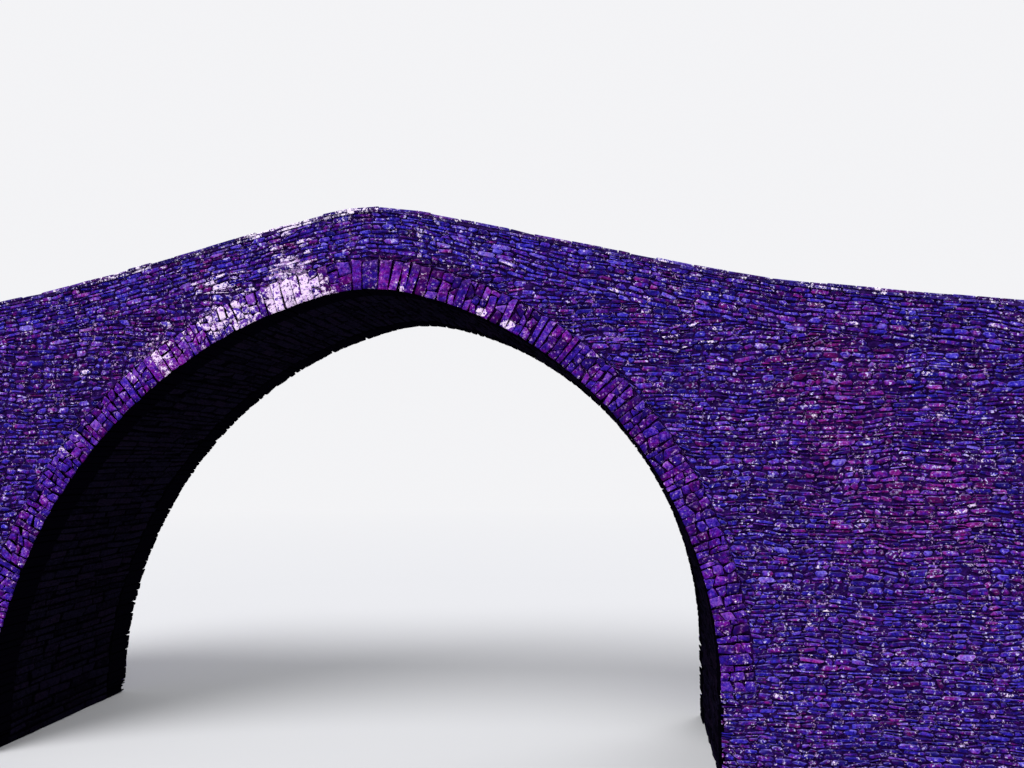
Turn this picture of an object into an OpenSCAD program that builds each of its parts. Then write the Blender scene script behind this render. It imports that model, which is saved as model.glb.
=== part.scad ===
// Packhorse bridge: one pointed rubble arch between two masonry approaches.
// X runs along the bridge, Y through the arch, Z up. The origin is the middle of the base.
// "Front" is the face towards -Y; left and right are as seen from the front.

/* [Bridge] */
// Width of the bridge from face to face
bridge_width = 2800; // [2000:50:4200]
// Height of the underside of the arch at its crown, above the base
crown_height = 5500; // [5400:50:8000]
// Distance from the crown to the left end
left_length = 8200; // [7000:100:12000]
// Distance from the crown to the right end
right_length = 9000; // [6600:100:12000]

/* [Arch] */
// Radius of the small rounded crown
crown_radius = 2000; // [1200:50:3000]
// Angle of the crown arc on each side of the vertical
crown_angle = 13; // [6:1:20]
// Radius of the left haunch
left_haunch_radius = 5400; // [3600:50:5450]
// Radius of the right haunch
right_haunch_radius = 4500; // [3600:50:5450]
// Thickness of the ring of arch stones
ring_thickness = 360; // [250:10:600]
// How far the face stones of the ring reach into the barrel
ring_depth = 450; // [250:10:650]
// How far the ring stands out of the wall face
ring_proud = 30; // [10:5:80]

/* [Walls] */
// Thickness of the facing walls
wall_thickness = 500; // [400:10:650]
// Length of the abutment blocks, from the arch face back into the bank
abutment_length = 1500; // [900:50:2000]
// Masonry over the crown of the ring, up to the road surface
crown_cover = 200; // [160:10:500]

/* [Road] */
// Thickness of the cobbled road surface
deck_thickness = 120; // [80:5:150]
// Fall of the ramps on each side of the crown
ramp_slope = 0.25; // [0.10:0.01:0.30]
// Fall of the approaches beyond the ramps
approach_slope = 0.11; // [0:0.01:0.15]
// Distance from the crown to where the ramps ease off
ramp_length = 4400; // [3500:100:6000]

/* [Parapets] */
// Height of the parapet wall over the road
parapet_height = 370; // [200:10:900]
// Thickness of the parapet wall
parapet_thickness = 300; // [200:10:450]
// Thickness of the coping slabs
coping_thickness = 70; // [40:5:120]
// How far the coping stands out of the parapet on each side
coping_overhang = 20; // [0:5:60]

/* [Hidden] */

$fn = 256;
LEFT = -1;
RIGHT = 1;
FRONT = -1;
BACK = 1;
half_width = bridge_width / 2;
core_half_width = half_width - wall_thickness;
crown_x = (left_length - right_length) / 2;
haunch_lengths = 3;      // lengths each side of the arch is built in: shoulder, haunch, springer
profile_step = 250;      // spacing of the points along the road's curve
crown_ease = 350;        // how softly the road bends over the crown
ramp_ease = 900;         // how softly each ramp eases into its approach
crown_deck_half = 1500;  // half length of the crown stretch of the road
past_level = 175;        // an angle from the vertical well past the springing line
below = 100;             // how far a cutting shape runs past the base

// The arch in its own plane, from the crown of its underside

function end_length(side) = side == LEFT ? left_length : right_length;
function haunch_radius(side) = side == LEFT ? left_haunch_radius : right_haunch_radius;
function haunch_centre(side) = [side * (crown_radius - haunch_radius(side)) * sin(crown_angle),
                                -crown_radius + (crown_radius - haunch_radius(side)) * cos(crown_angle)];
// Distance from the crown to the inner face of an abutment, and the level of its springing
function half_span(side) = haunch_radius(side) + side * haunch_centre(side)[0];
function springing(side) = crown_height + haunch_centre(side)[1];
function haunch_angle(i) = crown_angle + (90 - crown_angle) * i / haunch_lengths;

// The road's fall at a distance from the crown: a soft crest, then a straight ramp, then a gentler approach
function soft_step(u) = (u + sqrt(u * u + ramp_ease * ramp_ease)) / 2;
function road_fall(x) = ramp_slope * (sqrt(x * x + crown_ease * crown_ease) - crown_ease)
    - (ramp_slope - approach_slope) * (soft_step(abs(x) - ramp_length) - soft_step(-ramp_length));

// The road is straight between points set out at even steps from the crown, so that all that follows it meets
function set_out_level(i) = crown_height + ring_thickness + crown_cover - road_fall(i * profile_step);
function road_level(x) = let (i = floor(x / profile_step), part = x / profile_step - i)
    set_out_level(i) * (1 - part) + set_out_level(i + 1) * part;
function stations(x0, x1) = concat([x0], [for (i = [floor(x0 / profile_step) : ceil(x1 / profile_step)])
    let (x = i * profile_step) if (x > x0 + 1 && x < x1 - 1) x], [x1]);
function road_line(x0, x1, lift) = [for (x = stations(x0, x1)) [x, road_level(x) + lift]];
function reversed(list) = [for (i = [len(list) - 1 : -1 : 0]) list[i]];
// Two distances from the crown on one side, as a stretch from left to right
function stretch(side, near, far) = side == LEFT ? [-far, -near] : [near, far];

// A band that follows the road over a stretch, from one height to another above its surface
module road_band(x, low, high) {
    polygon(concat(road_line(x[0], x[1], low), reversed(road_line(x[0], x[1], high))));
}

// All that is under the road over a stretch, down to a flat bottom
module under_road(x, bottom) {
    polygon(concat([[x[0], bottom]], road_line(x[0], x[1], -deck_thickness), [[x[1], bottom]]));
}

// A slice of pie with its point at the origin, between two angles from the vertical
module sector(side, a0, a1, reach) {
    middle = (a0 + a1) / 2;
    polygon([[0, 0], for (a = [a0, middle, a1]) side * reach * [sin(a), 0] + [0, reach * cos(a)]]);
}

module haunch_piece(side, a0, a1, inner, outer) {
    translate([0, crown_height] + haunch_centre(side)) intersection() {
        difference() {
            circle(r = outer);
            if (inner > 0) circle(r = inner);
        }
        sector(side, a0, a1, 1.6 * outer);
    }
}

module crown_piece(inner, outer) {
    translate([0, crown_height - crown_radius]) intersection() {
        difference() {
            circle(r = outer);
            if (inner > 0) circle(r = inner);
        }
        sector(RIGHT, -crown_angle, crown_angle, 1.6 * outer);
    }
}

// What lies over the crown arc of the ring, under the road
module over_crown() {
    reach = crown_radius + ring_thickness + crown_cover;
    difference() {
        intersection() {
            under_road([-reach, reach], crown_height - crown_radius);
            translate([0, crown_height - crown_radius]) sector(RIGHT, -crown_angle, crown_angle, 2 * reach);
        }
        translate([0, crown_height - crown_radius]) circle(r = crown_radius + ring_thickness);
    }
}

// What lies over a haunch of the ring, from the crown arc out to a distance, down to a flat bottom
module over_haunch(side, far, bottom) {
    centre = [0, crown_height] + haunch_centre(side);
    difference() {
        intersection() {
            under_road(stretch(side, 0, far), bottom);
            translate(centre) sector(side, crown_angle, past_level, 2 * far);
        }
        translate(centre) circle(r = haunch_radius(side) + ring_thickness);
    }
}

// A flat shape in the arch's plane, made into a wall between two depths
module wall(y0, y1) {
    translate([crown_x, y1, 0]) rotate([90, 0, 0]) linear_extrude(y1 - y0) children();
}

// The same between two distances from the middle, towards the front or the back
module face_wall(face, near, far) {
    if (face == FRONT) wall(-far, -near) children();
    else wall(near, far) children();
}

// Arch

module barrel_haunch(side, i) {
    inner_half = half_width + ring_proud - ring_depth;
    color("#2a1c3c") wall(-inner_half, inner_half)
        haunch_piece(side, haunch_angle(i), haunch_angle(i + 1), haunch_radius(side),
                     haunch_radius(side) + ring_thickness);
}

module barrel_crown() {
    inner_half = half_width + ring_proud - ring_depth;
    color("#2a1c3c") wall(-inner_half, inner_half) crown_piece(crown_radius, crown_radius + ring_thickness);
}

module ring_haunch(face, side, i) {
    color("#8d5fa8") face_wall(face, half_width + ring_proud - ring_depth, half_width + ring_proud)
        haunch_piece(side, haunch_angle(i), haunch_angle(i + 1), haunch_radius(side),
                     haunch_radius(side) + ring_thickness);
}

module ring_crown(face) {
    color("#7a4a96") face_wall(face, half_width + ring_proud - ring_depth, half_width + ring_proud)
        crown_piece(crown_radius, crown_radius + ring_thickness);
}

module abutment(side) {
    x = half_span(side);
    color("#33234a") wall(-half_width, half_width)
        translate([side == LEFT ? -x - abutment_length : x, 0]) square([abutment_length, springing(side)]);
}

// Walls

module spandrel(face, side) {
    color("#4b2f6b") face_wall(face, core_half_width, half_width)
        over_haunch(side, half_span(side) + abutment_length, springing(side));
}

// The bed of stones that levels the crown of the arch, from face to face
module crown_bed() {
    color("#4b2f6b") wall(-half_width, half_width) over_crown();
}

module approach(face, side) {
    color("#432a60") face_wall(face, core_half_width, half_width)
        under_road(stretch(side, half_span(side) + abutment_length, end_length(side)), 0);
}

module end_wall(side) {
    color("#3c2757") wall(-core_half_width, core_half_width)
        under_road(stretch(side, end_length(side) - wall_thickness, end_length(side)), 0);
}

// The rubble fill between the facing walls, over the barrel and behind the abutment
module core(side) {
    abutment = stretch(side, 0, half_span(side) + abutment_length);
    color("#4a4038") wall(-core_half_width, core_half_width) difference() {
        over_haunch(side, end_length(side) - wall_thickness, 0);
        translate([abutment[0], -below]) square([abutment[1] - abutment[0], springing(side) + below]);
    }
}

// Road and parapets

module deck(x0, x1) {
    inner = half_width - parapet_thickness;
    color("#5d5470") wall(-inner, inner) road_band([x0, x1], -deck_thickness, 0);
}

module parapet(face) {
    color("#553577") face_wall(face, half_width - parapet_thickness, half_width)
        road_band([-left_length, right_length], -deck_thickness, parapet_height);
}

module coping(face) {
    color("#a58bb5")
        face_wall(face, half_width - parapet_thickness - coping_overhang, half_width + coping_overhang)
        road_band([-left_length, right_length], parapet_height, parapet_height + coping_thickness);
}

barrel_haunch(LEFT, 2);  // arch_left_springer
barrel_haunch(LEFT, 1);  // arch_left_haunch
barrel_haunch(LEFT, 0);  // arch_left_shoulder
barrel_crown();  // arch_crown
barrel_haunch(RIGHT, 0);  // arch_right_shoulder
barrel_haunch(RIGHT, 1);  // arch_right_haunch
barrel_haunch(RIGHT, 2);  // arch_right_springer
ring_haunch(FRONT, LEFT, 2);  // front_ring_left_springer
ring_haunch(FRONT, LEFT, 1);  // front_ring_left_haunch
ring_haunch(FRONT, LEFT, 0);  // front_ring_left_shoulder
ring_crown(FRONT);  // front_ring_crown
ring_haunch(FRONT, RIGHT, 0);  // front_ring_right_shoulder
ring_haunch(FRONT, RIGHT, 1);  // front_ring_right_haunch
ring_haunch(FRONT, RIGHT, 2);  // front_ring_right_springer
ring_haunch(BACK, LEFT, 2);  // back_ring_left_springer
ring_haunch(BACK, LEFT, 1);  // back_ring_left_haunch
ring_haunch(BACK, LEFT, 0);  // back_ring_left_shoulder
ring_crown(BACK);  // back_ring_crown
ring_haunch(BACK, RIGHT, 0);  // back_ring_right_shoulder
ring_haunch(BACK, RIGHT, 1);  // back_ring_right_haunch
ring_haunch(BACK, RIGHT, 2);  // back_ring_right_springer
abutment(LEFT);  // left_abutment
abutment(RIGHT);  // right_abutment
spandrel(FRONT, LEFT);  // front_spandrel_left
spandrel(FRONT, RIGHT);  // front_spandrel_right
spandrel(BACK, LEFT);  // back_spandrel_left
spandrel(BACK, RIGHT);  // back_spandrel_right
crown_bed();
approach(FRONT, LEFT);  // front_approach_left
approach(FRONT, RIGHT);  // front_approach_right
approach(BACK, LEFT);  // back_approach_left
approach(BACK, RIGHT);  // back_approach_right
end_wall(LEFT);  // left_end_wall
end_wall(RIGHT);  // right_end_wall
core(LEFT);  // left_core
core(RIGHT);  // right_core
deck(-left_length, -ramp_length);  // deck_left_approach
deck(-ramp_length, -crown_deck_half);  // deck_left_ramp
deck(-crown_deck_half, crown_deck_half);  // deck_crown
deck(crown_deck_half, ramp_length);  // deck_right_ramp
deck(ramp_length, right_length);  // deck_right_approach
parapet(FRONT);  // front_parapet
parapet(BACK);  // back_parapet
coping(FRONT);  // front_coping
coping(BACK);  // back_coping
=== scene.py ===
"""A stone packhorse bridge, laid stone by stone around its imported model. All sizes are in metres."""

import math

import bmesh
import bpy
import numpy as np
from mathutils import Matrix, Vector


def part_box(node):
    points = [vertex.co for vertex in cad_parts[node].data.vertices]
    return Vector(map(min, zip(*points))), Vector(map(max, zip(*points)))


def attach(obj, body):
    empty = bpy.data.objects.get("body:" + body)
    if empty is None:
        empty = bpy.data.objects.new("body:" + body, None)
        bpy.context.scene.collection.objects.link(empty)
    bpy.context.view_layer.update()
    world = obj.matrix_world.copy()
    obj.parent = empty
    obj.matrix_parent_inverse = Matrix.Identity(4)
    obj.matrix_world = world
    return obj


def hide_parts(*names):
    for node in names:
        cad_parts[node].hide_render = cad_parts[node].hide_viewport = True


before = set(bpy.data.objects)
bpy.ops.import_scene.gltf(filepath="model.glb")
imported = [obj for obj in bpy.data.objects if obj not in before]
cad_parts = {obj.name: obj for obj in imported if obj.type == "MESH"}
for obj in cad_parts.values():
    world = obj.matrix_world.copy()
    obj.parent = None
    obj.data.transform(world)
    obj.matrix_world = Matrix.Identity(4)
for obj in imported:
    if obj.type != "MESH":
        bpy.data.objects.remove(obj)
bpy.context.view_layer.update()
scene = bpy.context.scene

# The barrel of the arch is built first, on timber centring: long slabs of slate on edge, laid in courses that
# follow the arch and bedded in lime. Its line is a small rounded crown between two long haunches, and each
# haunch springs from an upright abutment face. Underneath it is coloured nearly black as painted shade.
crown_radius = 2.0
crown_angle = math.radians(13)
haunch_radius = {"left": 5.4, "right": 4.5}
outward = {"left": -1, "right": 1}
ring_thickness = 0.36
crown_low, crown_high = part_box("arch_crown")
crown_x = (crown_low[0] + crown_high[0]) / 2
crown_height = crown_high[2] - ring_thickness
crown_centre = np.array([crown_x, crown_height - crown_radius])
haunch_centre = {}
for side, way in outward.items():
    drop = crown_radius - haunch_radius[side]
    haunch_centre[side] = crown_centre + drop * np.array([way * math.sin(crown_angle), math.cos(crown_angle)])
springing = {side: centre[1] for side, centre in haunch_centre.items()}
abutment_x = {side: haunch_centre[side][0] + way * haunch_radius[side] for side, way in outward.items()}
quarter_turn = math.pi / 2


def arc_points(centre, radius, start, end, count=200):
    """Points round an arc, by angle from the upright, each with the direction into the opening."""
    turn = np.linspace(start, end, count)
    spoke = np.stack([np.sin(turn), np.cos(turn)], 1)
    return np.hstack([centre + radius * spoke, -spoke])


line_of_arch = np.concatenate([
    [[abutment_x["left"], 0, 1, 0]],
    arc_points(haunch_centre["left"], haunch_radius["left"], -quarter_turn, -crown_angle),
    arc_points(crown_centre, crown_radius, -crown_angle, crown_angle)[1:],
    arc_points(haunch_centre["right"], haunch_radius["right"], crown_angle, quarter_turn)[1:],
    [[abutment_x["right"], 0, -1, 0]],
])
along_arch = np.concatenate([[0], np.cumsum(np.hypot(*np.diff(line_of_arch[:, :2], axis=0).T))])


def on_arch(along, behind, y):
    """The place at a distance round the arch from its left foot, and at a depth behind its underside."""
    x, z, into_x, into_z = (np.interp(along, along_arch, column) for column in line_of_arch.T)
    return np.stack([x - into_x * behind, np.broadcast_to(y, np.shape(x)), z - into_z * behind], -1)


arch_parts = ["left_springer", "left_haunch", "left_shoulder", "crown",
              "right_shoulder", "right_haunch", "right_springer"]
haunch_turn = (quarter_turn - crown_angle) / 3
part_lengths = [haunch_turn * haunch_radius["left"]] * 3
part_lengths += [2 * crown_angle * crown_radius]
part_lengths += [haunch_turn * haunch_radius["right"]] * 3
part_ends = springing["left"] + np.concatenate([[0], np.cumsum(part_lengths)])


def part_of_arch(along):
    """Which of the arch's seven lengths a place round it belongs to."""
    place = np.searchsorted(part_ends, along) - 1
    return np.array(arch_parts)[np.clip(place, 0, len(arch_parts) - 1)]


# Every stone of the bridge is dressed alike. A course is marked out in cells, each cell loses its joints and
# its corners, and what is left becomes a closed stone with a worn edge and a rough face. The stones are drawn
# at random from one seed, so that they come out the same on every run.
chance = np.random.default_rng(1725)
corners = 6
stone_points = 3 * corners + 1


def spaced(start, end, least, most):
    """Places from start to end with uneven gaps."""
    count = max(1, round(2 * abs(end - start) / (least + most)))
    gaps = chance.uniform(least, most, count)
    return start + (end - start) * np.concatenate([[0], np.cumsum(gaps) / gaps.sum()])


def courses(near, far, levels, length, lean=0.02, split=0.0):
    """Four-cornered cells in courses. Some cells of a high course are split into two thin stones."""
    high_course = 0.055
    cells = []
    for bottom, top in zip(levels[:-1], levels[1:]):
        joints = spaced(near, far, *length)
        foot = joints + chance.uniform(-lean, lean, len(joints))
        head = joints + chance.uniform(-lean, lean, len(joints))
        foot[[0, -1]] = head[[0, -1]] = joints[[0, -1]]
        for near_foot, far_foot, near_head, far_head in zip(foot[:-1], foot[1:], head[:-1], head[1:]):
            near_edge = [(near_foot, bottom), (near_head, top)]
            far_edge = [(far_foot, bottom), (far_head, top)]
            if abs(top - bottom) > high_course and chance.random() < split:
                part = chance.uniform(0.35, 0.65)
                for edge in (near_edge, far_edge):
                    lower, upper = edge
                    edge.insert(1, (lower[0] + (upper[0] - lower[0]) * part, bottom + (top - bottom) * part))
            for level in range(len(near_edge) - 1):
                cells.append([near_edge[level], far_edge[level], far_edge[level + 1], near_edge[level + 1]])
    return np.array(cells)


# Each corner of a cell is marked by two points. Two opposite corners keep both, which cuts the corner off,
# and the other two keep one, which slants the side.
kept_points = np.array([[0, 1, 3, 4, 5, 7], [0, 2, 3, 4, 6, 7], [1, 2, 3, 5, 6, 7], [0, 1, 2, 4, 5, 6]])
longest_cut = 0.46


def outlines(cells, joint, corner, uneven=0.003, twist=0.02):
    """Turns cells into six-cornered stones. Each side loses from 0.3 to 1.6 of the joint's width, and each
    corner loses between two shares of the stone's shortest side."""
    count = len(cells)
    centre = cells.mean(1, keepdims=True)
    outwards = np.sign(cells - centre)
    taken = np.minimum(0.3 + chance.exponential(0.25, (2, count, 1, 2)), 1.6)
    low, high = np.reshape(joint, (-1, 1, 1)) * taken
    cells = cells - outwards * np.where(outwards < 0, low, high)
    turn = chance.normal(0, twist, (count, 1))
    offset = cells - centre
    cells = cells + np.stack([-turn * offset[..., 1], turn * offset[..., 0]], -1)
    side = np.roll(cells, -1, 1) - cells
    length = np.linalg.norm(side, axis=-1, keepdims=True)
    cut = length.min(1, keepdims=True) * chance.uniform(*corner, (2, *length.shape))
    share = np.minimum(cut / length, longest_cut)
    pairs = np.stack([cells + side * share[0], cells + side * (1 - share[1])], 2).reshape(count, 8, 2)
    kept = kept_points[chance.integers(0, len(kept_points), count)]
    return np.take_along_axis(pairs, kept[..., None], 1) + chance.normal(0, uneven, (count, corners, 2))


def dressed(shape, place, depth, worn=(0.10, 0.22), dome=0.04, tilt=0.05, set_back=(0.0, 0.02), most=0.0):
    """Closed stones from outlines. The function place turns two coordinates and a height above the face
    into a point."""
    small_step = 1e-4
    spots = np.append(shape[0, 0], 0) + small_step * np.array([[0, 0, 0], [1, 0, 0], [0, 1, 0], [0, 0, 1]])
    here = place(*spots.T)
    inside_out = np.linalg.det(here[1:] - here[0]) < 0
    if inside_out:
        shape = shape[:, ::-1]
    count = len(shape)
    roughness = 0.03
    centre = shape.mean(1, keepdims=True)
    width = np.ptp(shape, axis=1).min(-1)[:, None]
    face = -chance.uniform(*set_back, (count, 1))
    lift = ((shape - centre) * chance.normal(0, tilt, (count, 1, 2))).sum(-1)
    edge = width * chance.uniform(*worn, (count, 1))
    rough = chance.normal(0, roughness, (2, count, corners)) * np.minimum(width, 0.1)
    reach = np.linalg.norm(shape - centre, axis=-1)
    drawn_in = np.clip(1 - edge / reach, 0.5, 1)[..., None]
    heights = np.concatenate([
        np.broadcast_to(-np.asarray(depth).reshape(-1, 1), (count, corners)),
        face + lift - edge * 0.8 + rough[0],
        face + lift * 0.8 + rough[1],
        face + width * chance.normal(dome, roughness, (count, 1)),
    ], 1)
    flat = np.concatenate([shape, shape, centre + (shape - centre) * drawn_in, centre], 1)
    return place(flat[..., 0], flat[..., 1], np.minimum(heights, most))


def belt(first, second):
    """Four-cornered faces between two rounds of a stone's points."""
    i = np.arange(corners)
    j = np.roll(i, -1)
    return np.stack([first + i, first + j, second + j, second + i], 1)


# A stone's points are a round at its back, two rounds at the edge of its face, and the middle of the face.
back, rim_below, rim_above, middle_point = corners * np.arange(4)
one_round = np.arange(corners)
stone_faces = [
    one_round[None, ::-1],
    np.concatenate([belt(back, rim_below), belt(rim_below, rim_above)]),
    np.stack([rim_above + one_round, rim_above + np.roll(one_round, -1), np.full(corners, middle_point)], 1),
]
painted_values = ("hue", "tone", "lichen", "opened", "rim")
sharp_edge = math.radians(38)
heap = {}


def lay(nodes, stones, finish, hue, tone, lichen, side_shows=0.0):
    """Puts stones on the heap of the node each belongs to, with the values that colour every point of them:
    opened runs from 0 deep in a joint to 1 on the face, and rim from -1 at a stone's foot to 1 at its top."""
    count = len(stones)
    nodes = np.broadcast_to(nodes, count)
    opened = np.tile(np.repeat([0.0, 0.7, 1.0, 1.0], [corners, corners, corners, 1]), (count, 1))
    opened[:, :corners] = np.broadcast_to(side_shows, count)[:, None]
    above_middle = stones[..., 2] - stones[:, -1:, 2]
    thinnest = 0.012
    rim = above_middle / np.abs(above_middle).max(1, keepdims=True).clip(thinnest)
    values = [np.reshape(value, (count, -1)) for value in (hue, tone, lichen)]
    values = [np.broadcast_to(value, (count, stone_points)) for value in values] + [opened, rim]
    for name in sorted(set(nodes)):
        mine = nodes == name
        load = [stones[mine]] + [value[mine] for value in values]
        heap.setdefault(str(name), []).append((finish, load))


def build(node, mortar, draw_back):
    """Makes a node's piece: its own solid drawn back from the faces that show, as mortar, and its stones."""
    bed = bmesh.new()
    bed.from_mesh(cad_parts[node].data)
    bmesh.ops.remove_doubles(bed, verts=bed.verts, dist=1e-5)
    bed_points = np.array([draw_back(*corner.co) for corner in bed.verts])
    bed_faces = [np.array([[corner.index for corner in face.verts]]) for face in bed.faces]
    bed.free()
    groups = list(bed_faces)
    points = [bed_points]
    values = [[np.zeros(len(bed_points))] for _ in painted_values]
    materials = [mortar]
    slots = [0] * len(bed_faces)
    start = len(bed_points)
    for finish, (stones, *columns) in heap.pop(node, []):
        if finish not in materials:
            materials.append(finish)
        first = start + stone_points * np.arange(len(stones))
        for faces in stone_faces:
            group = (first[:, None, None] + faces[None]).reshape(-1, faces.shape[1])
            groups.append(group)
            slots += [materials.index(finish)] * len(group)
        points.append(stones.reshape(-1, 3))
        for column, value in zip(values, columns):
            column.append(value.ravel())
        start += stone_points * len(stones)
    mesh = bpy.data.meshes.new(node + "_stones")
    points = np.concatenate(points)
    sizes = np.concatenate([np.full(len(group), group.shape[1]) for group in groups])
    corner_of = np.concatenate([group.ravel() for group in groups])
    mesh.vertices.add(len(points))
    mesh.vertices.foreach_set("co", points.ravel())
    mesh.loops.add(len(corner_of))
    mesh.loops.foreach_set("vertex_index", corner_of)
    mesh.polygons.add(len(sizes))
    mesh.polygons.foreach_set("loop_start", np.concatenate([[0], np.cumsum(sizes)[:-1]]))
    mesh.polygons.foreach_set("material_index", slots)
    mesh.polygons.foreach_set("use_smooth", np.arange(len(sizes)) >= len(bed_faces))
    for name, column in zip(painted_values, values):
        layer = mesh.attributes.new(name, "FLOAT", "POINT")
        layer.data.foreach_set("value", np.concatenate(column))
    mesh.update(calc_edges=True)
    mesh.validate()
    mesh.set_sharp_from_angle(angle=sharp_edge)
    for material in materials:
        mesh.materials.append(material)
    piece = bpy.data.objects.new(node + "_stones", mesh)
    scene.collection.objects.link(piece)
    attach(piece, "root")
    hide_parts(node)


def seen_as(red, green, blue):
    """A colour as the eye sees it, each part from 0 to 255, turned into what the shader works in."""
    parts = [value / 255 for value in (red, green, blue)]
    return (*[p / 12.92 if p <= 0.04045 else ((p + 0.055) / 1.055) ** 2.4 for p in parts], 1.0)


class Finish:
    """One procedural stone finish, wired up a step at a time."""

    def __init__(self, name, gloss=0.0):
        self.material = bpy.data.materials.new(name)
        self.material.use_nodes = True
        self.tree = self.material.node_tree
        self.shader = self.tree.nodes["Principled BSDF"]
        self.shader.inputs["Specular IOR Level"].default_value = gloss
        self.where = self.node("ShaderNodeTexCoord").outputs["Object"]

    def node(self, kind, **settings):
        made = self.tree.nodes.new(kind)
        for key, value in settings.items():
            setattr(made, key, value)
        return made

    def feed(self, socket, source):
        if hasattr(source, "links"):
            self.tree.links.new(source, socket)
        else:
            socket.default_value = source

    def stored(self, value):
        return self.node("ShaderNodeAttribute", attribute_name=value).outputs["Fac"]

    def noise(self, size, detail=4.0, rough=0.6, stretch=(1, 1, 1)):
        """Cloudy noise from 0 to 1, with blotches of about the size given."""
        mapping = self.node("ShaderNodeMapping")
        mapping.inputs["Scale"].default_value = stretch
        self.feed(mapping.inputs["Vector"], self.where)
        made = self.node("ShaderNodeTexNoise")
        self.feed(made.inputs["Vector"], mapping.outputs["Vector"])
        made.inputs["Scale"].default_value = 1 / size
        made.inputs["Detail"].default_value = detail
        made.inputs["Roughness"].default_value = rough
        return made.outputs["Fac"]

    def maths(self, operation, first, second, clamp=False):
        made = self.node("ShaderNodeMath", operation=operation, use_clamp=clamp)
        self.feed(made.inputs[0], first)
        self.feed(made.inputs[1], second)
        return made.outputs[0]

    def plus(self, first, second):
        return self.maths("ADD", first, second)

    def times(self, first, second):
        return self.maths("MULTIPLY", first, second)

    def larger(self, first, second):
        return self.maths("MAXIMUM", first, second)

    def spread(self, value, low, high, to_low=0.0, to_high=1.0):
        """Stretches a value so that low becomes to_low and high to_high, and holds it between them."""
        made = self.node("ShaderNodeMapRange")
        self.feed(made.inputs["Value"], value)
        for key, number in (("From Min", low), ("From Max", high), ("To Min", to_low), ("To Max", to_high)):
            made.inputs[key].default_value = number
        return made.outputs["Result"]

    def mix(self, amount, first, second, blend="MIX"):
        made = self.node("ShaderNodeMix", data_type="RGBA", blend_type=blend)
        self.feed(made.inputs["Factor"], amount)
        self.feed(made.inputs[6], first)
        self.feed(made.inputs[7], second)
        return made.outputs[2]

    def ramp(self, amount, *colours):
        """A colour from a row of them, evenly set out from 0 to 1."""
        made = self.node("ShaderNodeValToRGB")
        elements = made.color_ramp.elements
        for i, colour in enumerate(colours):
            place = i / (len(colours) - 1)
            element = elements[0] if i == 0 else elements[-1] if place == 1 else elements.new(place)
            element.color = seen_as(*colour)
        self.feed(made.inputs["Fac"], amount)
        return made.outputs["Color"]

    def along(self, vector, axis):
        parts = self.node("ShaderNodeSeparateXYZ")
        self.feed(parts.inputs[0], vector)
        return parts.outputs[axis]

    def facing(self, normal, axis):
        return self.along(self.node("ShaderNodeNewGeometry").outputs[normal], axis)

    def faces_out(self):
        """1 on what looks towards the front or the back, 0 on what looks along the bridge, up or down."""
        return self.spread(self.maths("ABSOLUTE", self.facing("True Normal", "Y"), 0.0), 0.15, 0.5)

    def patches(self, areas):
        """How thick lichen lies: full in the middle of each area and none a little way outside it."""
        x = self.along(self.where, "X")
        z = self.along(self.where, "Z")
        thickest = 0.0
        for middle_x, middle_z, half_width, half_height, thick in areas:
            across = self.maths("DIVIDE", self.maths("SUBTRACT", x, middle_x), half_width)
            up = self.maths("DIVIDE", self.maths("SUBTRACT", z, middle_z), half_height)
            away = self.plus(self.times(across, across), self.times(up, up))
            thickest = self.larger(self.spread(away, 0.35, 1.6, thick, 0.0), thickest)
        return thickest

    def crust(self, lichen, fine):
        """Where lichen shows: ragged blotches with small holes in them, more of them the thicker it lies."""
        ragged = lichen
        for grain, strength in ((self.noise(0.16, 3.0), 0.6), (self.noise(0.06, 3.0), 1.3), (fine, 1.1)):
            ragged = self.plus(ragged, self.spread(grain, 0.0, 1.0, -strength, strength))
        holes = self.spread(self.noise(0.03, 2.0), 0.38, 0.45)
        return self.times(self.spread(ragged, 0.42, 0.58), holes)

    def lichen_colour(self, pale, blotch, fine):
        """Pale where lichen is thick, and tinted by the stone under it where it is thin."""
        thin = [part * factor for part, factor in zip(pale, (0.58, 0.34, 0.78))]
        middling = [part * factor for part, factor in zip(pale, (0.84, 0.72, 0.93))]
        return self.ramp(self.spread(self.plus(blotch, fine), 0.7, 1.12), thin, middling, pale, pale)

    def relief(self, height, distance):
        made = self.node("ShaderNodeBump")
        made.inputs["Strength"].default_value = 0.7
        made.inputs["Distance"].default_value = distance
        self.feed(made.inputs["Height"], height)
        self.feed(self.shader.inputs["Normal"], made.outputs["Normal"])


# Painted shade for what looks into the arch: it is coloured nearly black.
painted_shade_in_arch = (4, 3, 9)


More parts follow.
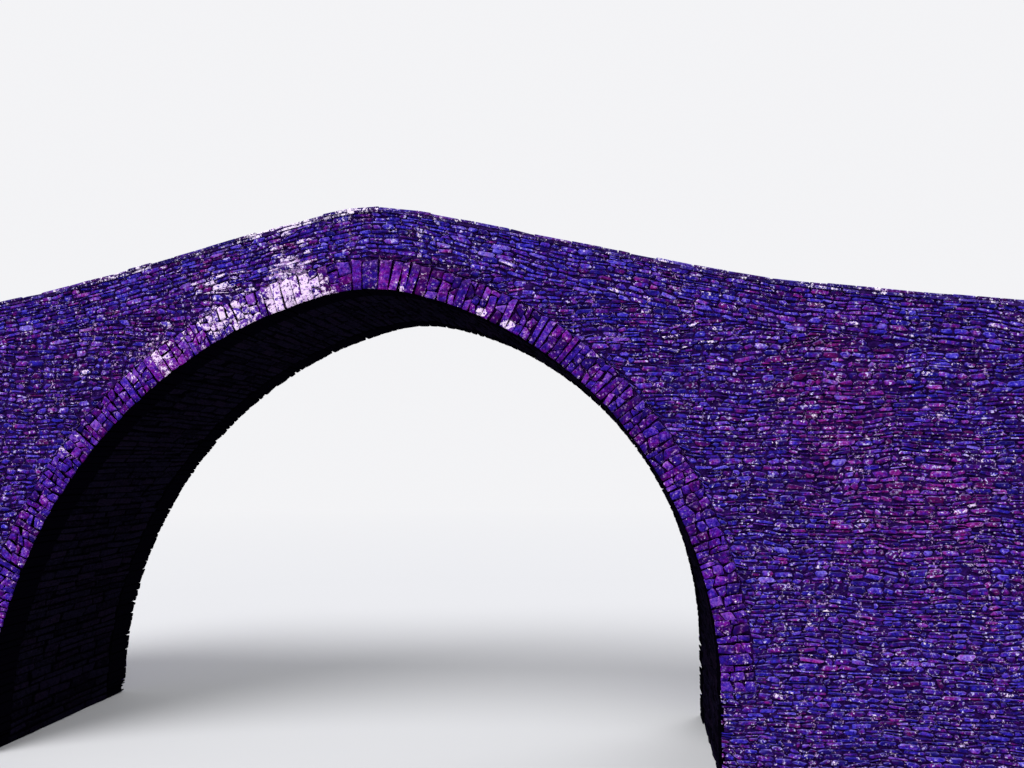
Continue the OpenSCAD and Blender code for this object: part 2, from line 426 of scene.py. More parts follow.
def weathered(name, hues, pale, dark, dust_and_highlight_colour=(140, 122, 226), dust_and_highlight_strength=0.66, bedding=(0.3, 0.3, 2.4), flecks=0.95,
              fleck=(208, 194, 250), dark_inside=False, areas=()):
    """Slate that shades from one hue to the next, with dust and a painted highlight on its ledges and tops,
    pale flecks and crusts of lichen. The colour pale is that of the lichen, and dark is the painted shade of
    the stone deep in a joint."""
    made = Finish(name)
    opened = made.stored("opened")
    rim = made.stored("rim")
    tone = made.stored("tone")
    cloud = made.noise(0.11, 3.0)
    blotch = made.noise(0.04, 3.0, 0.6)
    fine = made.noise(0.018, 5.0, 0.7)
    strata = made.noise(0.03, 4.0, 0.6, bedding)

    # Hue and shade both drift over a stone, and its foot lies in its own shadow.
    hue = made.plus(made.stored("hue"), made.spread(cloud, 0.3, 0.7, -0.26, 0.26))
    hue = made.maths("ADD", hue, made.spread(made.noise(0.055, 2.0), 0.3, 0.7, -0.28, 0.28), clamp=True)
    shade = made.times(tone, made.spread(fine, 0.3, 0.7, 0.4, 1.65))
    shade = made.times(shade, made.spread(blotch, 0.32, 0.68, 0.4, 1.7))
    shade = made.times(shade, made.spread(strata, 0.3, 0.7, 0.6, 1.4))
    shade = made.times(shade, made.spread(rim, -1.0, -0.2, 0.5, 1.0))
    shade = made.larger(shade, 0.34)
    body = made.mix(1.0, made.ramp(hue, *hues), made.maths("MINIMUM", shade, 1.35), "MULTIPLY")
    body = made.mix(made.spread(shade, 1.2, 3.2, 0.0, 0.6), body, seen_as(*dust_and_highlight_colour))

    # Dust, with a painted highlight, lies on what looks up and on the top of each stone, along the beds of
    # the slate, and flecks show on all but the darkest stones.
    ledge_dust_and_highlight = made.spread(made.facing("Normal", "Z"), 0.2, 0.75, 0.0, dust_and_highlight_strength)
    ledge_dust_and_highlight = made.larger(ledge_dust_and_highlight, made.spread(rim, 0.45, 1.0, 0.0, dust_and_highlight_strength))
    ledge_dust_and_highlight = made.times(ledge_dust_and_highlight, made.spread(strata, 0.42, 0.62, 0.1, 1.0))
    body = made.mix(ledge_dust_and_highlight, body, seen_as(*dust_and_highlight_colour))
    speck = made.times(made.spread(made.noise(0.032, 2.0), 0.585, 0.655), made.spread(cloud, 0.4, 0.6))
    speck = made.times(speck, made.spread(tone, 0.1, 0.5))
    body = made.mix(made.times(speck, flecks), body, seen_as(*fleck))

    # Lichen grows in the open air, and a stone's sides deep in a joint get painted shade.
    crust = made.crust(made.plus(made.stored("lichen"), made.patches(areas)), fine)
    crust = made.times(crust, made.spread(opened, 0.05, 0.4))
    body = made.mix(crust, body, made.lichen_colour(pale, blotch, fine))
    open_air = made.spread(opened, 0.15, 0.8)
    open_air = made.times(open_air, made.spread(made.noise(0.06), 0.3, 0.45, 0.6, 1.0))
    open_air = made.larger(open_air, made.times(crust, 0.9))
    body = made.mix(open_air, seen_as(*dark), body)
    # Painted shade: faces that look into the arch are coloured nearly black.
    if dark_inside:
        outside = made.times(made.faces_out(), made.spread(opened, 0.0, 0.2))
        body = made.mix(outside, seen_as(*painted_shade_in_arch), body)
    made.feed(made.shader.inputs["Base Color"], body)
    made.feed(made.shader.inputs["Roughness"], made.spread(fine, 0.3, 0.7, 0.75, 0.95))
    height = made.plus(made.times(strata, 0.8), made.times(fine, 0.6))
    made.relief(made.plus(height, made.times(crust, 0.3)), 0.007)
    return made.material


def gritty(name, dark, light, dark_inside=False, areas=()):
    """Mortar, earth or grit: two shades of fine crumbs. Where dark_inside is set, the faces that look into
    the arch get painted shade, nearly black."""
    made = Finish(name)
    made.shader.inputs["Roughness"].default_value = 0.95
    crumbs = made.noise(0.018, 5.0)
    lumps = made.plus(made.noise(0.07, 2.0), crumbs)
    body = made.ramp(made.spread(lumps, 0.75, 1.25), dark, light)
    if areas:
        crust = made.times(made.crust(made.patches(areas), crumbs), 0.8)
        lichen = made.lichen_colour((216, 176, 236), made.noise(0.04, 3.0, 0.6), crumbs)
        body = made.mix(crust, body, lichen)
    if dark_inside:
        body = made.mix(made.faces_out(), seen_as(*painted_shade_in_arch), body)
    made.feed(made.shader.inputs["Base Color"], body)
    made.relief(crumbs, 0.008)
    return made.material


# The slabs of the barrel reach from ring to ring, in courses as thick as one slab. The same slate faces the
# abutments below the springing.
# Under the arch the slate, its dust and the lime are coloured nearly black as painted shade.
vault_hues = [(11, 9, 20), (13, 10, 25), (16, 10, 24)]
vault_slate = weathered("vault_slate_painted_shade", vault_hues, (20, 16, 30), (1, 1, 3),
                        dust_and_highlight_colour=(15, 12, 24), dust_and_highlight_strength=0.2, flecks=0.0)
vault_lime = gritty("vault_lime", (1, 1, 3), (5, 4, 9))
vault_recess = 0.03
touching = 1e-3
ring_low, ring_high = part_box("front_ring_crown")
ring_y = abs(ring_low[1])
ring_back_y = abs(ring_high[1])


def on_soffit(along, y, height):
    return on_arch(along, -height, y)


vault_rows = np.concatenate([
    spaced(0, part_ends[0], 0.07, 0.12)[:-1],
    spaced(part_ends[0], part_ends[-1], 0.06, 0.13)[:-1],
    spaced(part_ends[-1], along_arch[-1], 0.07, 0.13),
])
cells = courses(-ring_back_y, ring_back_y, vault_rows, (0.25, 0.62))[..., ::-1]
shape = outlines(cells, 0.012, (0.1, 0.3), twist=0.0)
slabs = dressed(shape, on_soffit, 0.05)
count = len(slabs)
along = shape[:, :, 0].mean(1)
names = np.char.add("arch_", part_of_arch(along))
names = np.where(along < part_ends[0], "left_abutment", names)
names = np.where(along > part_ends[-1], "right_abutment", names)
hue = chance.uniform(0, 1, count)
tone = chance.uniform(0.5, 1.5, count)
lay(names, slabs, vault_slate, hue, tone, chance.uniform(0.0, 0.15, count))


def behind_arch(x, y, z):
    """Moves a point of the underside of the arch, or of the abutment faces below it, back into the stone."""
    spot = np.array([x, z])
    for side, way in outward.items():
        if z < springing[side] + touching and abs(x - abutment_x[side]) < touching:
            return (x + way * vault_recess, y, z)
        away = math.dist(spot, haunch_centre[side])
        if abs(away - haunch_radius[side]) < touching and way * (x - crown_x) > 0:
            x, z = spot + (spot - haunch_centre[side]) * vault_recess / away
            return (x, y, z)
    away = math.dist(spot, crown_centre)
    if abs(away - crown_radius) < touching and z > crown_centre[1]:
        x, z = spot + (spot - crown_centre) * vault_recess / away
    return (x, y, z)


for part in arch_parts:
    build("arch_" + part, vault_lime, behind_arch)

# A ring of slabs set on edge faces the barrel on each side and stands a little out of the wall. Over the
# crown the slabs are broad and reach right through the ring; down the haunches many are two or three rough
# blocks. Lichen whitens its left shoulder, and the slate is darker next to the wall right of the crown.
lichen_patches = [
    # middle x and z, half width, half height, how thick
    (-1.46, 5.44, 0.24, 0.25, 1.00),
    (-1.10, 5.51, 0.28, 0.18, 0.70),
    (-1.38, 5.72, 0.24, 0.18, 0.72),
    (-2.12, 5.13, 0.40, 0.22, 0.66),
    (-1.88, 5.27, 0.20, 0.14, 0.58),
    (-2.80, 4.72, 0.50, 0.34, 0.31),
    (0.95, 5.19, 0.06, 0.05, 1.30),
    (1.27, 5.05, 0.09, 0.06, 1.10),
]
freckled = [
    # middle x and z, half width, half height, share of stones that are pale
    (-2.22, 5.56, 0.38, 0.25, 0.85),
    (-1.38, 6.02, 0.32, 0.28, 0.60),
    (-2.70, 4.80, 0.70, 0.50, 0.16),
    (0.35, 6.10, 0.70, 0.35, 0.10),
]
tinted = [
    # middle x and z, half width, half height, how far towards rose, or towards indigo where it is below 0
    (crown_x + 0.5, 5.62, 0.60, 0.22, 0.36),
    (-2.80, 4.60, 1.10, 0.80, 0.26),
    (4.75, 4.20, 0.55, 0.80, 0.50),
    (5.70, 3.00, 0.80, 0.60, 0.46),
    (0.70, 6.20, 1.10, 0.35, -0.22),
]
ring_hues = [(46, 24, 142), (62, 20, 134), (86, 14, 134), (114, 22, 134)]
# Painted shade darkens the ring deep in its joints and, where it looks into the arch, nearly to black.
ring_slate = weathered("ring_slate", ring_hues, (243, 218, 250), (34, 7, 60), dust_and_highlight_colour=(146, 92, 200), dust_and_highlight_strength=0.45,
                       bedding=(1.2, 1.2, 1.2), flecks=0.6, fleck=(216, 170, 242), dark_inside=True,
                       areas=lichen_patches)
ring_lime = gritty("ring_lime", (22, 4, 42), (60, 16, 100), dark_inside=True, areas=lichen_patches)
ring_joint = 0.0045
ring_recess = 0.065
crown_at = (part_ends[3] + part_ends[4]) / 2


def swell(value, middle, half_width, power=2):
    """1 in the middle of a stretch, fading to nothing past its ends."""
    return np.exp(-(np.abs((value - middle) / half_width) ** power))


def patchy(areas, x, z, base):
    """The strongest of some areas at a place, and no less than the base."""
    thickest = base
    for middle_x, middle_z, half_width, half_height, thick in areas:
        away = ((x - middle_x) / half_width) ** 2 + ((z - middle_z) / half_height) ** 2
        thickest = np.maximum(thickest, thick * np.exp(-(away**1.6)))
    return thickest


def lichen_on(stones):
    """How much lichen a stone has beyond its patch: a few are crusted, and more where it is freckled."""
    many = patchy(freckled, stones[:, -1, 0], stones[:, -1, 2], 0.02)
    alone = chance.random(len(stones)) < many
    crusted = chance.uniform(0.15, 0.35 + 0.4 * many)
    bare = chance.normal(-0.17, 0.08, len(stones))
    return np.where(alone, crusted, bare)[:, None]


def crusted_joint(joint, x, z):
    """Joints close up under thick lichen."""
    return joint * np.clip(1.3 - 1.6 * patchy(lichen_patches, x, z, 0.0), 0.0, 1.0)


def darker_band_at(x, z):
    """How far slate keeps its tone: it is darker in a band where the crown's slabs meet the wall."""
    behind = np.hypot(x - crown_x, z - crown_centre[1]) - crown_radius
    return 1 - 0.75 * swell(x, crown_x + 0.6, 0.7, power=4) * swell(behind, ring_thickness, 0.17)


def hue_at(x, z):
    """From 0, indigo, through violet and plum to 1, rose."""
    hue = 0.37
    for middle_x, middle_z, half_width, half_height, change in tinted:
        hue = hue + change * swell(x, middle_x, half_width) * swell(z, middle_z, half_height)
    return hue


for face, way in (("front", -1), ("back", 1)):
    def on_ring(along, behind, height):
        return on_arch(along, behind, way * (ring_y + height))

    cells = []
    start = part_ends[0]
    while start < part_ends[-1] - 0.05:
        near_crown = swell(start, crown_at, 0.8)
        end = start + chance.uniform(0.055, 0.12) + near_crown * chance.uniform(0.01, 0.09)
        if part_ends[-1] - end < 0.06:
            end = part_ends[-1]
        slab_back = ring_thickness - chance.uniform(0.0, 0.02)
        cuts = [chance.uniform(0.0, 0.006), slab_back]
        if chance.random() < 0.12 + 0.72 * (1 - near_crown):
            cuts = list(spaced(*cuts, 0.06, 0.2))
        slant = chance.normal(0, 0.016, len(cuts))
        slant[0] = 0
        for inner, outer, tip, next_tip in zip(cuts[:-1], cuts[1:], slant[:-1], slant[1:]):
            inner_side = [(start, inner + tip), (end, inner - tip)]
            outer_side = [(end, outer - next_tip), (start, outer + next_tip)]
            cells.append(inner_side + outer_side)
        start = end
    cells = np.array(cells)
    along = cells[..., 0].mean(1)
    middle = on_ring(along, ring_thickness / 2, 0)
    joint = crusted_joint(ring_joint, middle[:, 0], middle[:, 2])
    most_cut = 0.34 - 0.2 * swell(along, crown_at, 0.8)
    shape = outlines(cells, joint, (0.05, most_cut.reshape(-1, 1, 1)), uneven=0.004)
    behind = shape[..., 1]
    at_arris = behind < 0.06
    shape[..., 1] = np.clip(behind * np.where(at_arris, 0.4, 1.0), 0.0, ring_thickness)
    slabs = dressed(shape, on_ring, ring_y - ring_back_y - 0.01, worn=(0.06, 0.16), tilt=0.06)
    count = len(slabs)
    names = np.char.add(face + "_ring_", part_of_arch(shape[:, :, 0].mean(1)))
    x, z = slabs[..., 0], slabs[..., 2]
    from_centre = np.hypot(x - crown_x, z - crown_centre[1])
    crusted_end = swell(from_centre, crown_radius, 0.06) * chance.uniform(0.0, 0.4, (count, 1))
    # Two stretches of the ring are lighter: the left haunch and just right of the crown.
    lighter_here = 1 + 0.8 * swell(x, -2.2, 0.75) + 0.65 * swell(x, crown_x + 0.5, 0.35)
    hue = hue_at(x, z) + chance.normal(-0.07, 0.22, (count, 1))
    tone = chance.lognormal(-0.2, 0.45, (count, 1)) * lighter_here * darker_band_at(x, z)
    lay(names, slabs, ring_slate, hue, tone, lichen_on(slabs) + crusted_end)


def behind_ring(x, y, z):
    """Draws the bed of a ring back from its face and from the underside of the arch."""
    if abs(abs(y) - ring_y) < touching:
        y = math.copysign(ring_y - ring_recess, y)
    return behind_arch(x, y, z)


for face in ("front", "back"):
    for part in arch_parts:
        build(f"{face}_ring_{part}", ring_lime, behind_ring)

# The facing walls are thin flat rubble in rough level courses, built up from the foot of the abutments and
# cut round the back of the ring. Stones at a corner run deeper and show on both faces. Rain has washed the
# mortar out of the joints.
wall_y = abs(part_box("front_spandrel_left")[0][1])
end_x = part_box("right_end_wall")[1][0]
wall_hues = [(42, 32, 160), (58, 28, 148), (88, 23, 136), (122, 26, 122)]
wall_lichen = (240, 220, 250)
# Painted shade: the sides of the stones deep in the joints take this colour.
wall_joint_shade = (24, 7, 56)
wall_slate = weathered("wall_slate", wall_hues, wall_lichen, wall_joint_shade, areas=lichen_patches)
# At the opening, the faces that look into the arch get painted shade, nearly black.
reveal_slate = weathered("reveal_slate", wall_hues, wall_lichen, wall_joint_shade, dark_inside=True)
wall_lime = gritty("washed_wall_lime", (12, 3, 34), (48, 20, 94), dark_inside=True, areas=lichen_patches)
wall_recess = 0.035
stone_depth = 0.075
corner_depth = (0.10, 0.24)
reveal_depth = 0.4
at_a_corner = 0.012
spandrel_length = 1.5
road_cover = 0.2
deck_thickness = 0.12
ramp_slope = 0.25
approach_slope = 0.11
ramp_length = 4.4
crown_ease = 0.35
ramp_ease = 0.9
road_step = 0.25


def road_curve(distance):
    """The height of the road at a distance from the crown: two ramps that ease into gentler approaches."""
    def soft_step(past):
        return (past + np.sqrt(past * past + ramp_ease**2)) / 2

    eased = soft_step(np.abs(distance) - ramp_length) - soft_step(-ramp_length)
    fall = ramp_slope * (np.sqrt(distance**2 + crown_ease**2) - crown_ease)
    return crown_height + ring_thickness + road_cover - fall + (ramp_slope - approach_slope) * eased


marks_each_way = 40
road_marks = np.arange(-marks_each_way, marks_each_way + 1) * road_step


def road_level(x):
    """The road's surface, straight between marks set out from the crown."""
    return np.interp(np.asarray(x) - crown_x, road_marks, road_curve(road_marks))


def bed_wave(x, z):
    """How far a bed strays from level."""
    wave = 0.015 * np.sin(2.3 * x + 1.9 * z + 0.4) + 0.011 * np.sin(5.1 * x - 2.6 * z + 2.0)
    return wave + 0.007 * np.sin(11.0 * x + 3.0 * z)


def area_of(shape):
    after = np.roll(shape, -1, 1)
    return np.abs((shape[..., 0] * after[..., 1] - shape[..., 1] * after[..., 0]).sum(1)) / 2


def over_crown(x, z):
    """Whether a place is within the angle that the crown of the arch takes up."""
    return np.abs(x - crown_x) < (z - crown_centre[1]) * math.tan(crown_angle)


def pushed_out(x, z, centre, radius, where):
    """Moves points that are nearer than a radius to a centre straight out to that radius."""
    away = np.hypot(x - centre[0], z - centre[1])
    push = np.where(where & (away < radius), radius / np.maximum(away, 0.1), 1.0)
    return centre[0] + (x - centre[0]) * push, centre[1] + (z - centre[1]) * push


def cut_to_wall(shape, side):
    """Cuts stones to the ring, the opening, the wall's foot and the foot of the parapet. Slivers are dropped,
    and so are a few small stones that have fallen out."""
    sliver = 0.00035
    sliver_share = 0.08
    small_stone = 0.0035
    share_fallen = 0.03
    clear = ring_thickness + chance.uniform(0.0, 0.008, (len(shape), 1))
    before = area_of(shape)
    x, z = shape[..., 0], shape[..., 1]
    low = z < springing[side] + 0.004
    in_opening = low & (outward[side] * (x - abutment_x[side]) < 0)
    x = np.where(in_opening, abutment_x[side], x)
    x, z = pushed_out(x, z, haunch_centre[side], haunch_radius[side] + clear, ~low)
    x, z = pushed_out(x, z, crown_centre, crown_radius + clear, over_crown(x, z))
    x = np.clip(x, -end_x, end_x)
    z = np.clip(z, 0.003, road_level(x) - deck_thickness - 0.004)
    shape = np.stack([x, z], -1)
    after = area_of(shape)
    fallen = (after < small_stone) & (chance.random(len(shape)) < share_fallen)
    return shape[(after > sliver) & (after > sliver_share * before) & ~fallen]


def wall_names(face, side, x, z):
    """The node that a wall stone belongs to, by the middle of its face."""
    beyond = outward[side] * (x - abutment_x[side]) > spandrel_length
    names = np.where(beyond, f"{face}_approach_{side}", f"{face}_spandrel_{side}")
    names = np.where(~beyond & (z < springing[side]), f"{side}_abutment", names)
    return np.where(over_crown(x, z), "crown_bed", names)


def damp(z):
    """Stone darkens towards the foot of the wall, which stays wet."""
    return 0.62 + 0.38 * np.clip(z / 1.1, 0, 1)


wall_style = {
    # joint width, least and most course height, least and most stone length
    "left": (0.017, (0.044, 0.084), (0.07, 0.21)),
    "right": (0.010, (0.030, 0.074), (0.06, 0.22)),
}
wall_corner = (0.15, 0.7)
split_share = 0.2
for face, way in (("front", -1), ("back", 1)):
    def on_face(x, z, height):
        return np.stack([x, way * (wall_y + height), z], -1)

    for side, (joint, rise, length) in wall_style.items():
        below = spaced(0, springing[side], *rise)
        above = spaced(springing[side], crown_height + ring_thickness + 0.08, *rise)
        ends = sorted([crown_x, outward[side] * end_x])
        cells = courses(*ends, np.concatenate([below[:-1], above]), length, split=split_share)
        joint = crusted_joint(joint, *cells.mean(1).T)
        shape = outlines(cells, joint, wall_corner, uneven=0.004, twist=0.03)
        x, z = shape[..., 0], shape[..., 1]
        calm = np.clip(np.abs(z - springing[side]) / 0.4, 0, 1) * np.clip(z / 0.3, 0, 1)
        shape = cut_to_wall(np.stack([x, z + bed_wave(x, z) * calm], -1), side)
        count = len(shape)
        at_end = (np.abs(shape[..., 0]) > end_x - at_a_corner).any(1)
        at_opening = (np.abs(shape[..., 0] - abutment_x[side]) < at_a_corner).any(1)
        at_opening &= shape[..., 1].mean(1) < springing[side]
        depth = np.where(at_opening, reveal_depth, stone_depth)
        depth = np.where(at_end, chance.uniform(*corner_depth, count), depth)
        rubble = dressed(shape, on_face, depth, set_back=(0.0, 0.03), most=0.008)
        x, z = rubble[..., 0], rubble[..., 2]
        names = wall_names(face, side, x[:, -1], z[:, -1])
        hue = hue_at(x, z) + chance.normal(0, 0.2, (count, 1))
        tone = damp(z) * darker_band_at(x, z) * chance.lognormal(-0.3, 0.45, (count, 1))
        lichen = lichen_on(rubble)
        shows = np.where(at_end, 0.8, 0.0)
        for finish, mine in ((wall_slate, ~at_opening), (reveal_slate, at_opening)):
            lay(names[mine], rubble[mine], finish, hue[mine], tone[mine], lichen[mine], shows[mine])

# Where the bridge is cut off, plain walls of the same rubble close its two ends. They are laid in level
# courses between the corner stones of the facing walls, from their foot up to the road.
for side, way in outward.items():
    def on_end(y, z, height):
        return np.stack([np.broadcast_to(way * (end_x + height), np.shape(y)), y, z], -1)

    top = float(road_level(way * end_x)) - 0.03
    half = wall_y - corner_depth[0]
    cells = courses(-half, half, spaced(0, top, 0.04, 0.08), (0.08, 0.24), split=split_share)
    shape = outlines(cells, 0.012, wall_corner)
    y, z = shape[..., 0], shape[..., 1]
    calm = np.clip(z / 0.3, 0, 1) * np.clip((top - z) / 0.3, 0, 1)
    shape = np.stack([np.clip(y, -half, half), np.clip(z + bed_wave(y, z) * calm, 0.003, top)], -1)
    rubble = dressed(shape, on_end, stone_depth, set_back=(0.0, 0.026))
    count = len(rubble)
    y, z = rubble[:, -1, 1], rubble[..., 2]
    core_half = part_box(f"{side}_end_wall")[1][1]
    names = np.where(y < -core_half, f"front_approach_{side}", f"back_approach_{side}")
    names = np.where(np.abs(y) < core_half, f"{side}_end_wall", names)
    hue = 0.35 + chance.normal(0, 0.2, count)
    tone = damp(z) * chance.lognormal(-0.25, 0.45, (count, 1))
    lay(names, rubble, wall_slate, hue, tone, lichen_on(rubble))


def behind_wall(x, y, z):
    """Draws the bed of a wall back from its face, from the ends of the bridge and from the opening."""
    if abs(abs(y) - wall_y) < touching:
        y = math.copysign(wall_y - wall_recess, y)
    if abs(abs(x) - end_x) < touching:
        x = math.copysign(end_x - wall_recess, x)
    return behind_arch(x, y, z)


for name in ("left_abutment", "right_abutment", "crown_bed", "left_end_wall", "right_end_wall"):
    build(name, wall_lime, behind_wall)
for face in ("front", "back"):
    for side in ("left", "right"):
        build(f"{face}_spandrel_{side}", wall_lime, behind_wall)
        build(f"{face}_approach_{side}", wall_lime, behind_wall)

# Between the facing walls the bridge is packed with rubble and earth, tipped in as the walls went up. It is
# sealed in on every side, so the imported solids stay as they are.
rubble_fill = gritty("rubble_fill", (30, 24, 28), (72, 60, 62))
for name in ("left_core", "right_core"):
    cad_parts[name].data.materials.clear()
    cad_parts[name].data.materials.append(rubble_fill)

# The road is cobbled from parapet to parapet, in rows across the bridge. The cobbles are set in earth and
# grit, and hooves have worn them round.
parapet_low, parapet_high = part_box("front_parapet")
inner_y = wall_y - (parapet_high[1] - parapet_low[1])
cobble_hues = [(66, 60, 104), (84, 72, 116), (112, 88, 122)]
# Painted shade darkens the cobbles' sides deep in the joints.
cobble = weathered("worn_cobbles", cobble_hues, (206, 192, 218), (20, 14, 26),
                   dust_and_highlight_colour=(140, 130, 168), dust_and_highlight_strength=0.25, flecks=0.3)
road_grit = gritty("road_grit", (24, 18, 30), (62, 52, 68))
grit_recess = 0.038
half_hump = 1.5
deck_ends = crown_x + np.array([-ramp_length, -half_hump, half_hump, ramp_length])
deck_names = ["deck_left_approach", "deck_left_ramp", "deck_crown", "deck_right_ramp", "deck_right_approach"]


def on_road(x, y, height):
    return np.stack([x, y, road_level(x) + height], -1)


rows = spaced(-end_x, end_x, 0.08, 0.16)
cells = courses(-inner_y, inner_y, rows, (0.08, 0.22), lean=0.025)[..., ::-1]
shape = outlines(cells, 0.013, (0.2, 0.46))
x, y = shape[..., 0], shape[..., 1]
calm = np.clip((end_x - np.abs(x)) / 0.3, 0, 1)
bend = 0.035 * np.sin(2.7 * y + 0.9 * x) + 0.015 * np.sin(7.1 * y - 2.2 * x)
shape = np.clip(np.stack([x + bend * calm, y], -1), [-end_x, -inner_y], [end_x, inner_y])
cobbles = dressed(shape, on_road, 0.06, worn=(0.16, 0.28), dome=0.08, set_back=(0.014, 0.032), most=-0.001)
count = len(cobbles)
names = np.array(deck_names)[np.searchsorted(deck_ends, shape[..., 0].mean(1))]
hue = chance.uniform(0, 1, count)
tone = chance.lognormal(-0.1, 0.3, count)
lay(names, cobbles, cobble, hue, tone, chance.uniform(0.0, 0.2, count))


def behind_road(x, y, z):
    """Lowers the grit below the tops of the cobbles, and draws it back from the ends of the bridge."""
    if abs(z - road_level(x)) < 2 * touching:
        z -= grit_recess
    if abs(abs(x) - end_x) < touching:
        x = math.copysign(end_x - wall_recess, x)
    return (x, y, z)


for name in deck_names:
    build(name, road_grit, behind_road)

# The parapets carry on up in the same rubble, in courses that follow the hump of the road. Each has a face to
# the road as well, and stones at their ends run deeper and show on both faces.
parapet_height = 0.37
for face, way in (("front", -1), ("back", 1)):
    def on_outer(x, up, height):
        return np.stack([x, way * (wall_y + height), road_level(x) - deck_thickness + up], -1)

    def on_inner(x, up, height):
        return np.stack([x, way * (inner_y - height), road_level(x) + up], -1)

    outer_face = (on_outer, parapet_height + deck_thickness, 0.008)
    inner_face = (on_inner, parapet_height, 0)
    for place, top, proud in (outer_face, inner_face):
        cells = courses(-end_x, end_x, spaced(0, top, 0.036, 0.07), (0.08, 0.24), split=split_share)
        shape = outlines(cells, 0.010, wall_corner)
        x, up = shape[..., 0], shape[..., 1]
        calm = np.clip(up / 0.1, 0, 1) * np.clip((top - up) / 0.1, 0, 1)
        waved = up + 0.8 * bed_wave(x, up) * calm
        shape = np.stack([np.clip(x, -end_x, end_x), np.clip(waved, 0.002, top)], -1)
        count = len(shape)
        at_end = (np.abs(shape[..., 0]) > end_x - at_a_corner).any(1)
        depth = np.where(at_end, chance.uniform(0.10, 0.15, count), stone_depth)
        rubble = dressed(shape, place, depth, set_back=(0.0, 0.026), most=proud)
        hue = hue_at(rubble[..., 0], rubble[..., 2]) + chance.normal(-0.03, 0.2, (count, 1))
        tone = chance.lognormal(-0.12, 0.45, count)
        lay(f"{face}_parapet", rubble, wall_slate, hue, tone, lichen_on(rubble), np.where(at_end, 0.8, 0.0))


def behind_parapet(x, y, z):
    """Draws the bed of a parapet back from both of its faces and from the ends of the bridge."""
    if abs(abs(y) - wall_y) < touching:
        y = math.copysign(wall_y - wall_recess, y)
    elif abs(abs(y) - inner_y) < touching:
        y = math.copysign(inner_y + wall_recess, y)
    if abs(abs(x) - end_x) < touching:
        x = math.copysign(end_x - wall_recess, x)
    return (x, y, z)


for face in ("front", "back"):
    build(f"{face}_parapet", wall_lime, behind_parapet)

# Two layers of thin flat slabs cap the parapets and stand out a little on both sides, bedded in lime. Left of
# the crown they are white with lichen; on the right they are nearly bare.
coping_thickness = 0.07
coping_edges = [abs(corner[1]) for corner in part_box("back_coping")]
coping_hues = [(44, 32, 128), (58, 30, 118), (84, 28, 112)]
# Painted shade darkens the slabs' edges where they meet the joints.
coping_slate = weathered("coping_slate", coping_hues, (246, 232, 253), (20, 7, 40), dust_and_highlight_strength=0.45)
coping_lime = gritty("coping_lime", (22, 10, 48), (58, 32, 104))
lime_width = 0.82
lime_recess = 0.024
lime_end_recess = 0.03
coping_layers = (
    # top of the layer as a share of the thickness, least and most slab length
    (0.5, (0.12, 0.34)),
    (1.0, (0.16, 0.46)),
)
for face, way in (("front", -1), ("back", 1)):
    edges = sorted(way * edge for edge in coping_edges)
    for layer, length in coping_layers:
        def on_coping(x, across, height):
            top = road_level(x) + parapet_height + layer * coping_thickness
            return np.stack([x, across, top + height], -1)

        cells = courses(-end_x, end_x, np.array(edges), length, lean=0.03)
        ragged = chance.uniform(-0.03, 0.0, (len(cells), 1)) + chance.normal(0, 0.004, (len(cells), 4))
        cells[..., 1] += ragged * np.sign(cells[..., 1] - np.mean(edges))
        shape = outlines(cells, 0.004, (0.005, 0.05))
        shape = np.clip(shape, [-end_x, edges[0]], [end_x, edges[1]])
        slabs = dressed(shape, on_coping, coping_thickness / 2 - 0.001, worn=(0.02, 0.05), dome=0.0,
                        tilt=0.02, set_back=(0.0, 0.008))
        count = len(slabs)
        x = slabs[..., 0]
        pale = swell(x, -1.5, 0.37, power=4) + 0.65 * swell(x, -0.62, 0.22) + 0.45 * swell(x, -3.5, 0.4)
        pale = (0.5 + 0.5 * layer) * pale + chance.exponential(0.08, (count, 1))
        hue = chance.uniform(0.0, 0.9, count)
        tone = chance.lognormal(-0.2, 0.4, count)
        lay(f"{face}_coping", slabs, coping_slate, hue, tone, pale, side_shows=0.85)


def behind_coping(x, y, z):
    """Draws the lime back from the top, the sides and the ends of the coping."""
    middle = math.copysign(sum(coping_edges) / 2, y)
    if z > road_level(x) + parapet_height + coping_thickness / 2:
        z -= lime_recess
    if abs(abs(x) - end_x) < touching:
        x = math.copysign(end_x - lime_end_recess, x)
    return (x, middle + (y - middle) * lime_width, z)


for face in ("front", "back"):
    build(f"{face}_coping", coping_lime, behind_coping)

# The bridge stands on a pale floor that runs out to a white surround, under a soft high light from the left
# and a weaker one from behind.
reach = 80.0
fade_from = 14.0
fade_to = 48.0
surround_colour = (0.9, 0.9, 0.92, 1)
floor_corners = [(-reach, -reach, 0), (reach, -reach, 0), (reach, reach, 0), (-reach, reach, 0)]
floor_mesh = bpy.data.meshes.new("floor")
floor_mesh.from_pydata(floor_corners, [], [(0, 1, 2, 3)])
floor = bpy.data.objects.new("floor", floor_mesh)
scene.collection.objects.link(floor)
floor_paint = Finish("pale_floor", gloss=0.1)
floor_paint.shader.inputs["Base Color"].default_value = seen_as(206, 206, 209)
floor_paint.shader.inputs["Roughness"].default_value = 0.9
distance = floor_paint.node("ShaderNodeVectorMath", operation="LENGTH")
floor_paint.feed(distance.inputs[0], floor_paint.where)
faded = floor_paint.spread(distance.outputs["Value"], fade_from, fade_to)
seen = floor_paint.node("ShaderNodeLightPath").outputs["Is Camera Ray"]
surround_paint = floor_paint.node("ShaderNodeEmission")
surround_paint.inputs["Color"].default_value = surround_colour
blend = floor_paint.node("ShaderNodeMixShader")
floor_paint.feed(blend.inputs["Fac"], floor_paint.times(seen, faded))
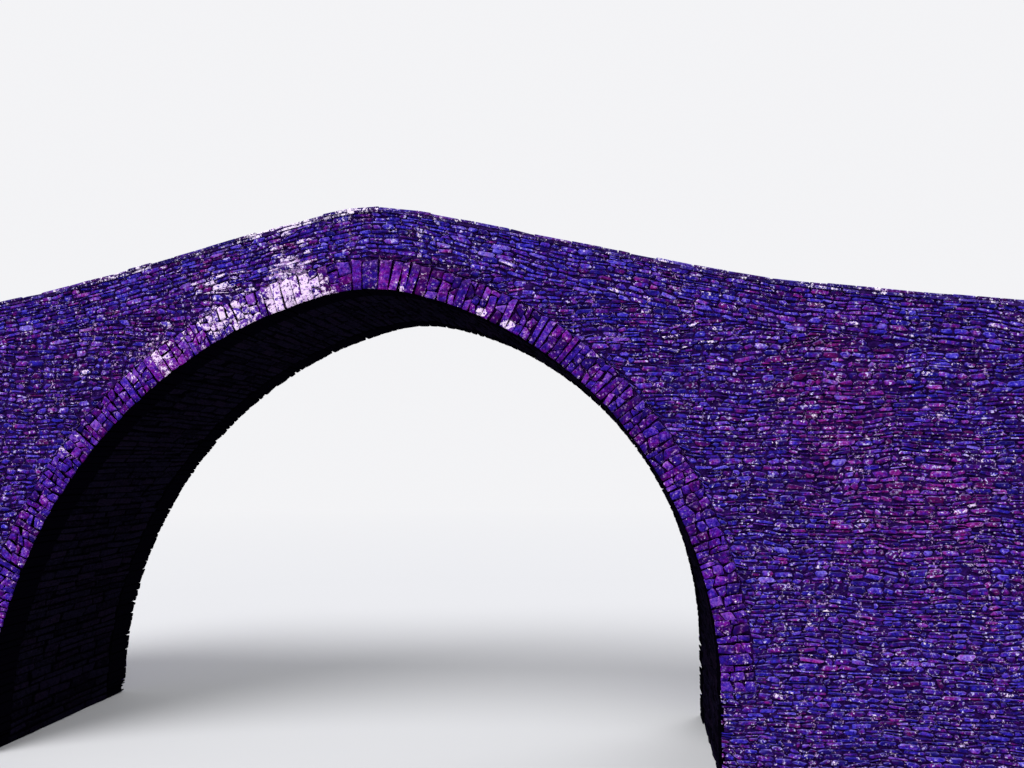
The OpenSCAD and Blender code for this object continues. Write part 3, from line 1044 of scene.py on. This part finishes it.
floor_paint.feed(blend.inputs[1], floor_paint.shader.outputs["BSDF"])
floor_paint.feed(blend.inputs[2], surround_paint.outputs["Emission"])
floor_output = floor_paint.tree.nodes["Material Output"]
floor_paint.feed(floor_output.inputs["Surface"], blend.outputs["Shader"])
floor_mesh.materials.append(floor_paint.material)

surround = bpy.data.worlds.new("surround")
scene.world = surround
surround.use_nodes = True
wires = surround.node_tree
light_from_all_round = wires.nodes["Background"]
light_from_all_round.inputs["Color"].default_value = (0.96, 0.98, 1.0, 1)
light_from_all_round.inputs["Strength"].default_value = 0.5
backdrop = wires.nodes.new("ShaderNodeBackground")
backdrop.inputs["Color"].default_value = surround_colour
path = wires.nodes.new("ShaderNodeLightPath")
choose = wires.nodes.new("ShaderNodeMixShader")
wires.links.new(path.outputs["Is Camera Ray"], choose.inputs["Fac"])
wires.links.new(light_from_all_round.outputs["Background"], choose.inputs[1])
wires.links.new(backdrop.outputs["Background"], choose.inputs[2])
wires.links.new(choose.outputs["Shader"], wires.nodes["World Output"].inputs["Surface"])

light_softness = math.radians(35)
for name, toward, strength in (("high_left", (0.45, 0.75, -1.0), 2.9), ("behind", (-0.5, -0.9, -0.9), 1.0)):
    light = bpy.data.lights.new(name, "SUN")
    light.energy = strength
    light.angle = light_softness
    lamp = bpy.data.objects.new(name, light)
    lamp.rotation_euler = Vector(toward).to_track_quat("-Z", "Y").to_euler()
    scene.collection.objects.link(lamp)

# The camera stands low in front of the bridge, right of the crown, and looks a little left and a little up.
right_of_crown = 2.99
in_front_of_wall = 9.26
below_crown = 1.97
turned_up = math.radians(5.1)
turned_left = math.radians(7.9)
camera_data = bpy.data.cameras.new("camera")
camera_data.sensor_width = 36.0
camera_data.lens = 29.18
camera = bpy.data.objects.new("camera", camera_data)
camera.location = (crown_x + right_of_crown, -wall_y - in_front_of_wall, crown_height - below_crown)
camera.rotation_euler = (quarter_turn + turned_up, 0, turned_left)
scene.collection.objects.link(camera)
scene.camera = camera
scene.view_settings.view_transform = "Standard"
